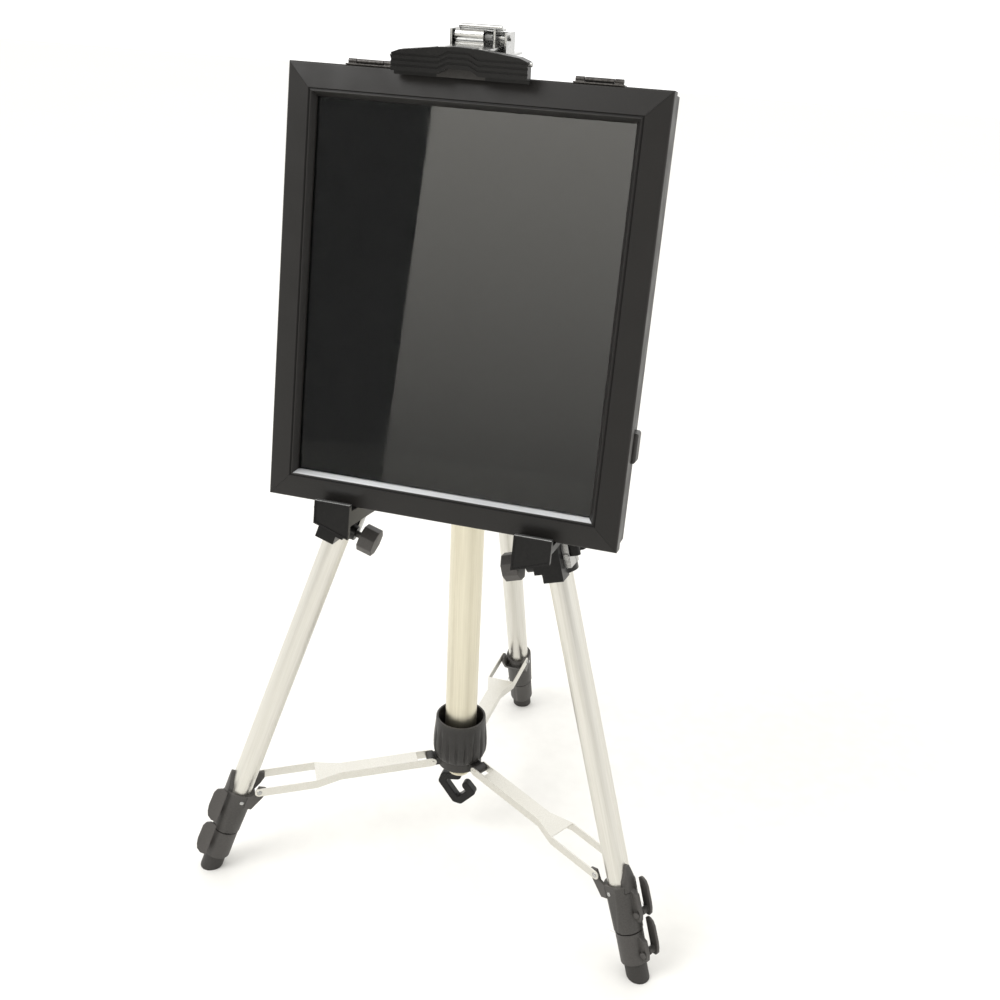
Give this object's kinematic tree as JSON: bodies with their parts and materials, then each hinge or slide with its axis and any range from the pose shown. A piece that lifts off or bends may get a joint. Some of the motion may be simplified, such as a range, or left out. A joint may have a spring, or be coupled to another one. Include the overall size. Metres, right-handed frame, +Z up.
{
  "type": "tripod display easel with case",
  "caption": "Folding aluminium tripod easel holding a framed, glazed display case on two leg clamps, with a top clip on a sliding mast.",
  "frame": {"origin": "on the floor, under the middle of the whole object's bounding box; the mast axis is 54.6 mm in front of it, at x = 0", "axes": "+Z up, +Y to the back, so the case faces -Y; +X to the right of a person facing the case"},
  "size_m": [0.4173, 0.3659, 0.7177],
  "materials": {
    "black_board": "black lining",
    "black_frame": "satin black paint",
    "black_plastic": "fine moulded black",
    "black_rubber": "matt",
    "brass": "satin",
    "case_glass": "clear glass",
    "silver_tube": "satin anodised",
    "steel": "bright plated",
    "trim": "brushed strip"
  },
  "bodies": {
    "stand": {"crown": "black_plastic", "leg_hinge_pins": "steel", "centre_tube": "silver_tube", "end_plug": "black_plastic", "case_frame": "black_frame", "case_glass": "case_glass", "case_board": "black_board", "case_trim": "trim", "case_back_shell": "black_frame", "latch_bases": "steel", "side_hinges": "black_plastic"},
    "mast": {"mast": "silver_tube", "clip_bracket": "steel", "clip_pin": "steel", "clip_spring": "steel"},
    "clip_lever": {"clip_lever": "steel", "clip_rod": "steel"},
    "clip_jaw": {"clip_jaw": "black_plastic"},
    "crown_lock_knob": {"crown_lock_knob": "black_plastic"},
    "hub": {"spreader_hub": "black_plastic"},
    "hub_collar": {"hub_collar": "black_plastic"},
    "hook": {"utility_hook": "black_plastic"},
    "latch_left": {"latch_lever_left": "brass"},
    "latch_right": {"latch_lever_right": "brass"},
    "leg_left": {"leg_head_left": "black_plastic", "upper_tube_left": "silver_tube", "upper_collar_left": "black_plastic"},
    "middle_left": {"middle_tube_left": "silver_tube", "lower_collar_left": "black_plastic"},
    "lower_left": {"lower_tube_left": "silver_tube", "foot_left": "black_rubber"},
    "brace_left": {"brace_left": "silver_tube"},
    "upper_lever_left": {"upper_lever_left": "black_plastic"},
    "lower_lever_left": {"lower_lever_left": "black_plastic"},
    "leg_right": {"leg_head_right": "black_plastic", "upper_tube_right": "silver_tube", "upper_collar_right": "black_plastic"},
    "middle_right": {"middle_tube_right": "silver_tube", "lower_collar_right": "black_plastic"},
    "lower_right": {"lower_tube_right": "silver_tube", "foot_right": "black_rubber"},
    "brace_right": {"brace_right": "silver_tube"},
    "upper_lever_right": {"upper_lever_right": "black_plastic"},
    "lower_lever_right": {"lower_lever_right": "black_plastic"},
    "leg_rear": {"leg_head_rear": "black_plastic", "upper_tube_rear": "silver_tube", "upper_collar_rear": "black_plastic"},
    "middle_rear": {"middle_tube_rear": "silver_tube", "lower_collar_rear": "black_plastic"},
    "lower_rear": {"lower_tube_rear": "silver_tube", "foot_rear": "black_rubber"},
    "brace_rear": {"brace_rear": "silver_tube"},
    "upper_lever_rear": {"upper_lever_rear": "black_plastic"},
    "lower_lever_rear": {"lower_lever_rear": "black_plastic"},
    "clamp_right": {"clamp_body_right": "black_plastic", "clamp_strap_right": "steel"},
    "clamp_knob_right": {"clamp_knob_right": "black_plastic"},
    "clamp_left": {"clamp_body_left": "black_plastic", "clamp_strap_left": "steel"},
    "clamp_knob_left": {"clamp_knob_left": "black_plastic"}
  },
  "joints": [
    {"name": "leg_rear_fold", "type": "hinge", "parent": "stand", "child": "leg_rear", "pos_m": [0, -0.0196, 0.527], "axis": [-1, 0, 0], "range_deg": [0, 14]},
    {"name": "leg_left_fold", "type": "hinge", "parent": "stand", "child": "leg_left", "pos_m": [-0.03031, -0.0721, 0.527], "axis": [0.5, -0.866, 0], "range_deg": [0, 14]},
    {"name": "brace_left_hinge", "type": "hinge", "parent": "hub", "child": "brace_left", "pos_m": [-0.02295, -0.06785, 0.0915], "axis": [0.5, -0.866, 0], "range_deg": [0, 71.11]},
    {"name": "leg_left_middle_slide", "type": "slide", "parent": "leg_left", "child": "middle_left", "axis": [-0.2962, -0.171, -0.9397], "range_m": [0, 0.35]},
    {"name": "leg_left_lower_slide", "type": "slide", "parent": "middle_left", "child": "lower_left", "axis": [-0.2962, -0.171, -0.9397], "range_m": [0, 0.34]},
    {"name": "leg_left_upper_lever", "type": "hinge", "parent": "leg_left", "child": "upper_lever_left", "pos_m": [-0.19097, -0.16486, 0.0635], "axis": [0.5, -0.866, 0], "range_deg": [0, 80]},
    {"name": "leg_left_lower_lever", "type": "hinge", "parent": "middle_left", "child": "lower_lever_left", "pos_m": [-0.20089, -0.17058, 0.02882], "axis": [0.5, -0.866, 0], "range_deg": [0, 80]},
    {"name": "leg_right_fold", "type": "hinge", "parent": "stand", "child": "leg_right", "pos_m": [0.03031, -0.0721, 0.527], "axis": [0.5, 0.866, 0], "range_deg": [0, 14]},
    {"name": "brace_right_hinge", "type": "hinge", "parent": "hub", "child": "brace_right", "pos_m": [0.02295, -0.06785, 0.0915], "axis": [0.5, 0.866, 0], "range_deg": [0, 71.11]},
    {"name": "leg_right_middle_slide", "type": "slide", "parent": "leg_right", "child": "middle_right", "axis": [0.2962, -0.171, -0.9397], "range_m": [0, 0.35]},
    {"name": "leg_right_lower_slide", "type": "slide", "parent": "middle_right", "child": "lower_right", "axis": [0.2962, -0.171, -0.9397], "range_m": [0, 0.34]},
    {"name": "leg_right_upper_lever", "type": "hinge", "parent": "leg_right", "child": "upper_lever_right", "pos_m": [0.19097, -0.16486, 0.0635], "axis": [0.5, 0.866, 0], "range_deg": [0, 80]},
    {"name": "leg_right_lower_lever", "type": "hinge", "parent": "middle_right", "child": "lower_lever_right", "pos_m": [0.20089, -0.17058, 0.02882], "axis": [0.5, 0.866, 0], "range_deg": [0, 80]},
    {"name": "brace_rear_hinge", "type": "hinge", "parent": "hub", "child": "brace_rear", "pos_m": [0, -0.0281, 0.0915], "axis": [-1, 0, 0], "range_deg": [0, 71.11]},
    {"name": "leg_rear_middle_slide", "type": "slide", "parent": "leg_rear", "child": "middle_rear", "axis": [0, 0.342, -0.9397], "range_m": [0, 0.35]},
    {"name": "leg_rear_lower_slide", "type": "slide", "parent": "middle_rear", "child": "lower_rear", "axis": [0, 0.342, -0.9397], "range_m": [0, 0.34]},
    {"name": "leg_rear_upper_lever", "type": "hinge", "parent": "leg_rear", "child": "upper_lever_rear", "pos_m": [0, 0.16592, 0.0635], "axis": [-1, 0, 0], "range_deg": [0, 80]},
    {"name": "leg_rear_lower_lever", "type": "hinge", "parent": "middle_rear", "child": "lower_lever_rear", "pos_m": [0, 0.17737, 0.02882], "axis": [-1, 0, 0], "range_deg": [0, 80]},
    {"name": "hub_slide", "type": "slide", "parent": "stand", "child": "hub", "axis": [0, 0, 1], "range_m": [0, 0.11931]},
    {"name": "hub_collar_twist", "type": "hinge", "parent": "hub", "child": "hub_collar", "pos_m": [0, -0.0546, 0.105], "axis": [0, 0, 1], "range_deg": [0, 60]},
    {"name": "mast_slide", "type": "slide", "parent": "stand", "child": "mast", "axis": [0, 0, 1], "range_m": [0, 0.27]},
    {"name": "clip_hinge", "type": "hinge", "parent": "mast", "child": "clip_lever", "pos_m": [0, -0.0766, 0.7095], "axis": [-1, 0, 0], "range_deg": [0, 25], "stiffness_Nm_per_rad": 0.4},
    {"name": "clip_jaw_tilt", "type": "hinge", "parent": "clip_lever", "child": "clip_jaw", "pos_m": [0.003, -0.1171, 0.698], "axis": [1, 0, 0], "range_deg": [-6, 2]},
    {"name": "crown_lock_turn", "type": "hinge", "parent": "stand", "child": "crown_lock_knob", "pos_m": [0.03291, -0.0356, 0.524], "axis": [0.866, 0.5, 0], "range_deg": [0, 360]},
    {"name": "hook_swivel", "type": "hinge", "parent": "stand", "child": "hook", "pos_m": [0, -0.0546, 0.07], "axis": [0, 0, 1], "continuous": true},
    {"name": "clamp_right_slide", "type": "slide", "parent": "leg_right", "child": "clamp_right", "axis": [0.2962, -0.171, -0.9397], "range_m": [0, 0.2]},
    {"name": "clamp_right_knob_turn", "type": "hinge", "parent": "clamp_right", "child": "clamp_knob_right", "pos_m": [0.06146, -0.12425, 0.33667], "axis": [0.9548, 0.0261, 0.2962], "range_deg": [0, 360]},
    {"name": "clamp_left_slide", "type": "slide", "parent": "leg_left", "child": "clamp_left", "axis": [-0.2962, -0.171, -0.9397], "range_m": [0, 0.2]},
    {"name": "clamp_left_knob_turn", "type": "hinge", "parent": "clamp_left", "child": "clamp_knob_left", "pos_m": [-0.06146, -0.12425, 0.33667], "axis": [-0.9548, 0.0261, 0.2962], "range_deg": [0, 360]},
    {"name": "latch_left_flip", "type": "hinge", "parent": "stand", "child": "latch_left", "pos_m": [-0.065, -0.10425, 0.6904], "axis": [1, 0, 0], "range_deg": [0, 100]},
    {"name": "latch_right_flip", "type": "hinge", "parent": "stand", "child": "latch_right", "pos_m": [0.094, -0.10425, 0.6904], "axis": [1, 0, 0], "range_deg": [0, 100]}
  ],
  "couplings": [
    {"joint": "leg_left_fold", "follows": "leg_rear_fold", "ratio": 1},
    {"joint": "brace_left_hinge", "follows": "leg_rear_fold", "ratio": 5.0795},
    {"joint": "leg_right_fold", "follows": "leg_rear_fold", "ratio": 1},
    {"joint": "brace_right_hinge", "follows": "leg_rear_fold", "ratio": 5.0795},
    {"joint": "brace_rear_hinge", "follows": "leg_rear_fold", "ratio": 5.0795},
    {"joint": "hub_slide", "follows": "leg_rear_fold", "m_per_rad": 0.48828}
  ]
}
